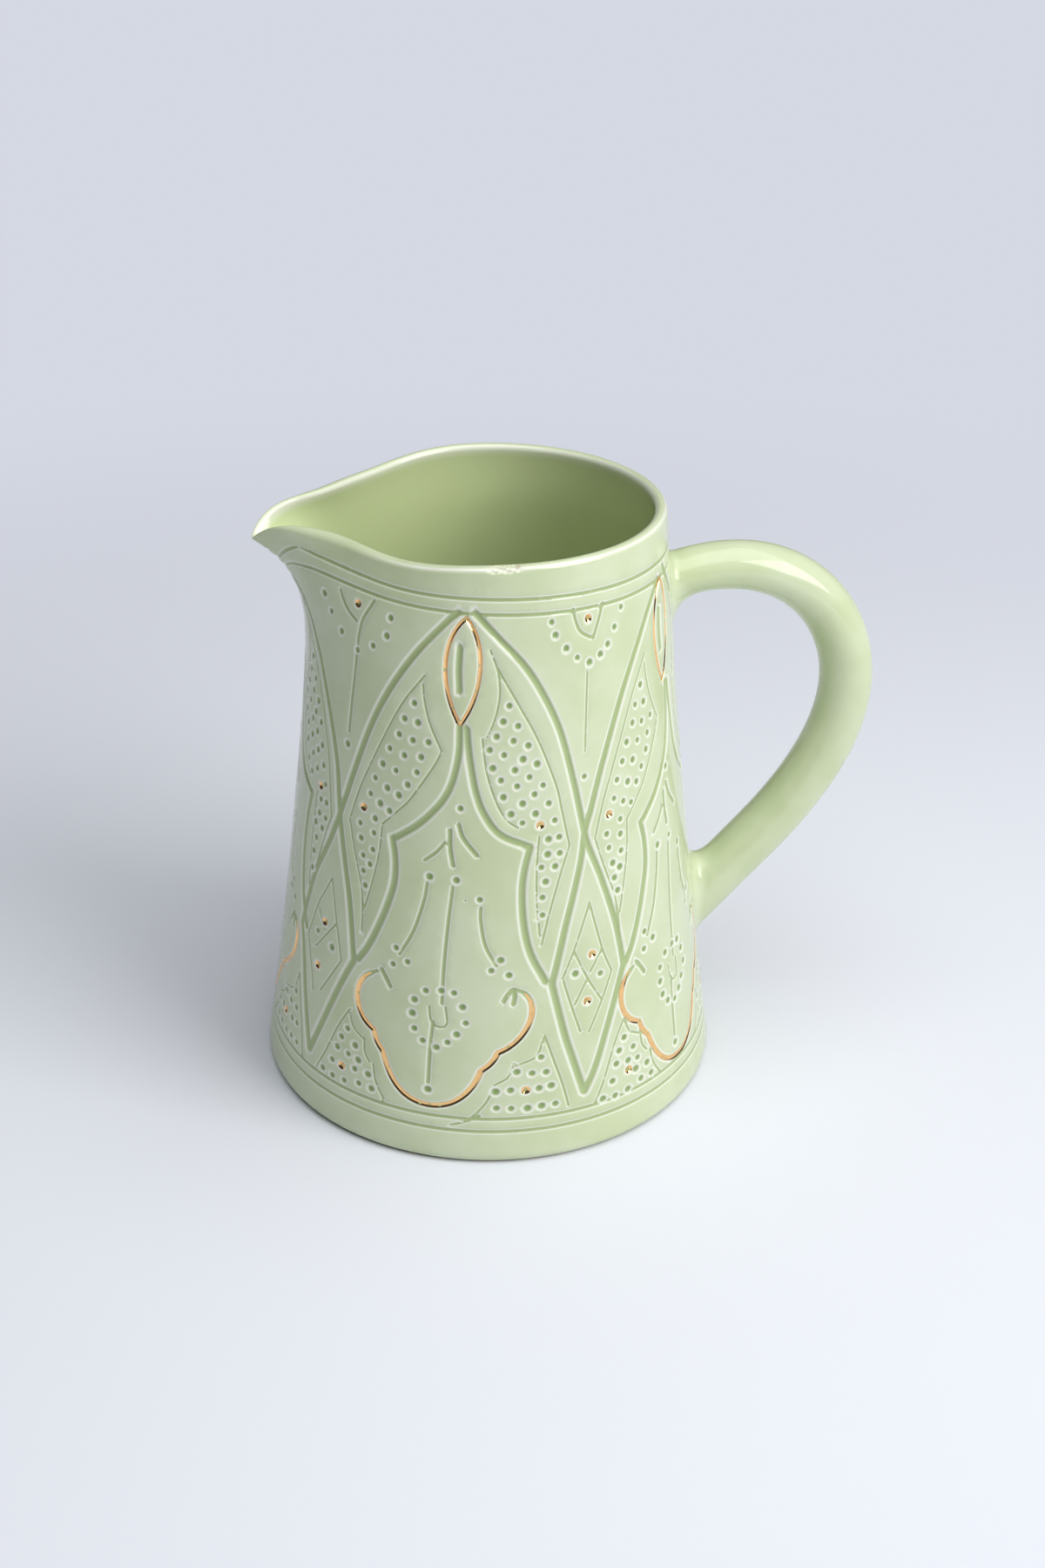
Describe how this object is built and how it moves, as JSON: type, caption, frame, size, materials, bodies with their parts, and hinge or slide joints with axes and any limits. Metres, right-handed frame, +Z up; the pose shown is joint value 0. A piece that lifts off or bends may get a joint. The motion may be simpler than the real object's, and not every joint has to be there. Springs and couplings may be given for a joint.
{
  "type": "pitcher",
  "caption": "Conical glazed ceramic pitcher with a pulled pouring spout, a looped handle luted on at both ends, and engraved lattice ornament touched with gold lustre.",
  "frame": {"origin": "middle of the flat base, on the axis of the body", "axes": "+Z up along the body's axis, +X towards the handle, spout on -X"},
  "size_m": [0.2063, 0.1545, 0.2],
  "materials": {
    "glaze": "glossy pale green glaze, darker where it pools",
    "gold_lustre": "fired gold lustre"
  },
  "bodies": {
    "root": {"body": "glaze", "handle": "glaze", "upper_handle_fillet": "glaze", "lower_handle_fillet": "glaze", "gold_almond_1": "gold_lustre", "gold_scallop_1": "gold_lustre", "gold_dot_panel_left_1": "gold_lustre", "gold_dot_panel_right_1": "gold_lustre", "gold_dot_corner_left_1": "gold_lustre", "gold_dot_corner_right_1": "gold_lustre", "gold_dot_fan_1": "gold_lustre", "gold_dot_lozenge_upper_1": "gold_lustre", "gold_dot_lozenge_lower_1": "gold_lustre", "gold_almond_2": "gold_lustre", "gold_scallop_2": "gold_lustre", "gold_dot_panel_left_2": "gold_lustre", "gold_dot_panel_right_2": "gold_lustre", "gold_dot_corner_left_2": "gold_lustre", "gold_dot_corner_right_2": "gold_lustre", "gold_almond_3": "gold_lustre", "gold_scallop_3": "gold_lustre", "gold_dot_panel_left_3": "gold_lustre", "gold_dot_panel_right_3": "gold_lustre", "gold_dot_corner_left_3": "gold_lustre", "gold_dot_corner_right_3": "gold_lustre", "gold_dot_fan_3": "gold_lustre", "gold_dot_lozenge_upper_3": "gold_lustre", "gold_dot_lozenge_lower_3": "gold_lustre", "gold_almond_4": "gold_lustre", "gold_scallop_4": "gold_lustre", "gold_dot_panel_left_4": "gold_lustre", "gold_dot_panel_right_4": "gold_lustre", "gold_dot_corner_left_4": "gold_lustre", "gold_dot_corner_right_4": "gold_lustre", "gold_dot_fan_4": "gold_lustre", "gold_dot_lozenge_upper_4": "gold_lustre", "gold_dot_lozenge_lower_4": "gold_lustre", "gold_almond_5": "gold_lustre", "gold_scallop_5": "gold_lustre", "gold_dot_panel_left_5": "gold_lustre", "gold_dot_panel_right_5": "gold_lustre", "gold_dot_corner_left_5": "gold_lustre", "gold_dot_corner_right_5": "gold_lustre", "gold_dot_fan_5": "gold_lustre", "gold_dot_lozenge_upper_5": "gold_lustre", "gold_dot_lozenge_lower_5": "gold_lustre"}
  },
  "joints": []
}
